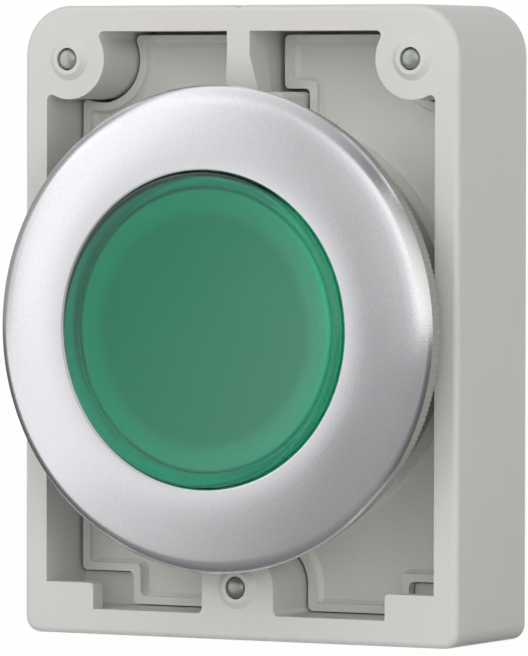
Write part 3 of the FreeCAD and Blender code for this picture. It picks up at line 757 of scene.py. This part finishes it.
def stage_card(name, centre, facing, width, height, material):
    """Flat staged card that faces a point."""
    mesh_edit = bmesh.new()
    bmesh.ops.create_grid(mesh_edit, x_segments=1, y_segments=1, size=0.5)
    bmesh.ops.scale(mesh_edit, verts=mesh_edit.verts[:], vec=(width, height, 1))
    turn = (Vector(facing) - Vector(centre)).to_track_quat("Z", "Y").to_matrix().to_4x4()
    bmesh.ops.transform(mesh_edit, verts=mesh_edit.verts[:], matrix=Matrix.Translation(centre) @ turn)
    mesh = bpy.data.meshes.new(name)
    mesh_edit.to_mesh(mesh)
    mesh_edit.free()
    mesh.materials.append(material)
    card = bpy.data.objects.new(name, mesh)
    bpy.context.scene.collection.objects.link(card)
    return card


def studio_flag(name, centre, facing, width, height, level, slope=(0, 0, 0), bend=0.0, fold=0.0,
                low=0.15, top=1.3, tint=(1, 1, 1)):
    """Graded card that only shows in reflections, as a photographer's flag does.

    Its brightness is the level at the origin and changes by the slope for each
    metre along x, y and z, and by the bend for each metre away from x = fold. It
    stays between low and top.
    """
    flag = bpy.data.materials.new(name)
    flag.use_nodes = True
    tree = flag.node_tree
    tree.nodes.remove(tree.nodes["Principled BSDF"])
    place = tree.nodes.new("ShaderNodeTexCoord")
    split = tree.nodes.new("ShaderNodeSeparateXYZ")
    tree.links.new(place.outputs["Object"], split.inputs["Vector"])
    graded = tree.nodes.new("ShaderNodeVectorMath")
    graded.operation = "DOT_PRODUCT"
    graded.inputs[1].default_value = slope
    tree.links.new(place.outputs["Object"], graded.inputs[0])
    away = calculation(tree, "ABSOLUTE", calculation(tree, "SUBTRACT", split.outputs["X"], fold))
    bent = calculation(tree, "MULTIPLY_ADD", away, bend, graded.outputs["Value"])
    capped = calculation(tree, "MINIMUM", calculation(tree, "ADD", bent, level), top)
    glow = tree.nodes.new("ShaderNodeEmission")
    glow.inputs["Color"].default_value = (*tint, 1)
    tree.links.new(calculation(tree, "MAXIMUM", capped, low), glow.inputs["Strength"])
    tree.links.new(glow.outputs["Emission"], tree.nodes["Material Output"].inputs["Surface"])
    card = stage_card(name, centre, facing, width, height, flag)
    card.visible_camera = False
    card.visible_diffuse = False
    card.visible_transmission = False
    card.visible_shadow = False


def backdrop_mask(tree):
    """1 for camera, glossy and transmission rays."""
    path = tree.nodes.new("ShaderNodeLightPath")
    seen = calculation(tree, "MAXIMUM", path.outputs["Is Camera Ray"], path.outputs["Is Glossy Ray"])
    return calculation(tree, "MAXIMUM", seen, path.outputs["Is Transmission Ray"])


def floor_white():
    """Matt white that keeps shadows and shows nearly as bright as the backdrop."""
    backdrop_share = 0.97
    floor = bpy.data.materials.new("Floor white")
    floor.use_nodes = True
    tree = floor.node_tree
    link = tree.links.new
    shader = tree.nodes["Principled BSDF"]
    shader.inputs["Base Color"].default_value = (0.85, 0.85, 0.85, 1)
    shader.inputs["Roughness"].default_value = 0.9
    glow = tree.nodes.new("ShaderNodeEmission")
    glow.inputs["Color"].default_value = (1, 1, 1, 1)
    mix = tree.nodes.new("ShaderNodeMixShader")
    link(calculation(tree, "MULTIPLY", backdrop_mask(tree), backdrop_share), mix.inputs["Fac"])
    link(shader.outputs["BSDF"], mix.inputs[1])
    link(glow.outputs["Emission"], mix.inputs[2])
    link(mix.outputs["Shader"], tree.nodes["Material Output"].inputs["Surface"])
    return floor


def studio_world():
    """White backdrop. The light that falls on the object is strongest from the upper front."""
    even_light = 0.42
    front_light = 0.70
    world = bpy.data.worlds.new("Studio")
    world.use_nodes = True
    tree = world.node_tree
    link = tree.links.new
    backdrop = tree.nodes["Background"]
    backdrop.inputs["Color"].default_value = (1, 1, 1, 1)
    around = tree.nodes.new("ShaderNodeTexCoord")
    facing = tree.nodes.new("ShaderNodeVectorMath")
    facing.operation = "DOT_PRODUCT"
    facing.inputs[1].default_value = (0.0, -0.95, 0.31)
    link(around.outputs["Generated"], facing.inputs[0])
    lobe = calculation(tree, "POWER", calculation(tree, "MAXIMUM", facing.outputs["Value"], 0.0), 2.0)
    room = tree.nodes.new("ShaderNodeBackground")
    room.inputs["Color"].default_value = (1, 1, 1, 1)
    link(calculation(tree, "MULTIPLY_ADD", lobe, front_light, even_light), room.inputs["Strength"])
    mix = tree.nodes.new("ShaderNodeMixShader")
    link(backdrop_mask(tree), mix.inputs["Fac"])
    link(room.outputs["Background"], mix.inputs[1])
    link(backdrop.outputs["Background"], mix.inputs[2])
    link(mix.outputs["Shader"], tree.nodes["World Output"].inputs["Surface"])
    return world


def add_area(name, place, size, power):
    """Square lamp that faces the origin and doesn't show in reflections."""
    light = bpy.data.lights.new(name, "AREA")
    light.shape = "SQUARE"
    light.size = size
    light.energy = power
    lamp = bpy.data.objects.new(name, light)
    lamp.location = place
    lamp.rotation_euler = (-Vector(place)).to_track_quat("-Z", "Y").to_euler()
    lamp.visible_glossy = False
    bpy.context.scene.collection.objects.link(lamp)


def photo_camera():
    """Camera at the photograph's angle and distance."""
    camera = bpy.data.cameras.new("Camera")
    camera.sensor_width = SENSOR
    camera.lens = FOCAL_PIXELS / IMAGE_HEIGHT * SENSOR
    camera.clip_start = 0.01
    camera.clip_end = 10
    eye = bpy.data.objects.new("Camera", camera)
    bpy.context.scene.collection.objects.link(eye)
    back = Vector((math.sin(CAMERA_YAW) * math.cos(CAMERA_LIFT),
                   -math.cos(CAMERA_YAW) * math.cos(CAMERA_LIFT), math.sin(CAMERA_LIFT)))
    right = Vector((math.cos(CAMERA_YAW), math.sin(CAMERA_YAW), 0))
    up = back.cross(right)
    turn = Matrix((right, up, back)).transposed() @ Matrix.Rotation(CAMERA_ROLL, 3, "Z")
    eye.matrix_world = Matrix.Translation(CAMERA_AIM + back * CAMERA_DISTANCE) @ turn.to_4x4()
    return eye


class PUSHBUTTON_OT_stage(bpy.types.Operator):
    """Floor, world, flags, lamps and camera"""

    bl_idname = "pushbutton.stage"
    bl_label = "Stage"

    def execute(self, context):
        scene = context.scene
        scene.view_settings.view_transform = "Standard"
        floor_gap = 0.02 * MM
        card_lift = 0.2 * MM
        floor_size = 2.4
        base = cad_box[0][2] - floor_gap
        card = base + card_lift
        stage_card("floor", (0, 0, base), (0, 0, 1), floor_size, floor_size, floor_white())
        scene.world = studio_world()
        studio_flag("flag_front", (-0.1, -0.6, 0.41), (-0.1, 0, 0.41), width=1.8, height=0.9,
                    level=0.277, slope=(-0.55, 0, 0.3), bend=1.35, fold=-0.17, low=0.3, top=1.03)
        studio_flag("flag_left", (-1.02, -0.18, 0.28), (0, -0.18, 0.28), width=0.84, height=0.64,
                    level=0.5, slope=(0, 0, 1.4))
        studio_flag("flag_right", (0.78, 0.45, 0.41), (0, 0.45, 0.41), width=2.1, height=0.9,
                    level=1.07, slope=(0, -0.3, -0.9), tint=(1, 1, 0.95))
        studio_flag("flag_low", (-0.1, -0.3045, card), (-0.1, -0.3045, 1), width=1.8, height=0.595,
                    level=0.42, slope=(-12, 4, 0), low=0.31, top=0.88)
        studio_flag("flag_under", (0, 0.2465, card), (0, 0.2465, 1), width=1.8, height=0.507,
                    level=0.15, slope=(2, -20, 0), low=0.1)
        studio_flag("flag_top", (-0.1, -0.1, 0.95), (-0.1, -0.1, 0), width=1.8, height=1.1,
                    level=0.55, slope=(-0.62, 0, 0))
        studio_flag("flag_back", (-0.55, 0.25, 0.28), (0, 0, 0.28), width=0.8, height=0.64, level=0.3)
        add_area("Key", (-0.30, -0.56, 0.38), size=0.35, power=0.84)
        add_area("Fill", (0.52, -0.38, 0.10), size=0.25, power=0.66)
        add_area("Front fill", (0.30, -0.62, 0.10), size=0.3, power=0.28)
        scene.camera = photo_camera()
        return {"FINISHED"}


STEPS = (
    PUSHBUTTON_OT_stage,
    PUSHBUTTON_OT_mouldings,
    PUSHBUTTON_OT_barrel,
    PUSHBUTTON_OT_gasket,
    PUSHBUTTON_OT_bezel,
    PUSHBUTTON_OT_lens,
    PUSHBUTTON_OT_screws,
    PUSHBUTTON_OT_spring,
    PUSHBUTTON_OT_cad_finishes,
)


class PUSHBUTTON_PT_panel(bpy.types.Panel):
    """Sidebar panel that lists the pieces"""

    bl_label = "Push button"
    bl_space_type = "VIEW_3D"
    bl_region_type = "UI"
    bl_category = "Push button"

    def draw(self, context):
        for step in STEPS:
            self.layout.operator(step.bl_idname)


CLASSES = (ButtonSizes, ButtonColours) + STEPS + (PUSHBUTTON_PT_panel,)


def register():
    for item in CLASSES:
        bpy.utils.register_class(item)
    bpy.types.Scene.button_sizes = bpy.props.PointerProperty(type=ButtonSizes)
    bpy.types.Scene.button_colours = bpy.props.PointerProperty(type=ButtonColours)


def unregister():
    del bpy.types.Scene.button_colours
    del bpy.types.Scene.button_sizes
    for item in reversed(CLASSES):
        bpy.utils.unregister_class(item)


def main():
    register()
    for step in STEPS:
        group, name = step.bl_idname.split(".")
        getattr(getattr(bpy.ops, group), name)()


if __name__ == "__main__":
    main()
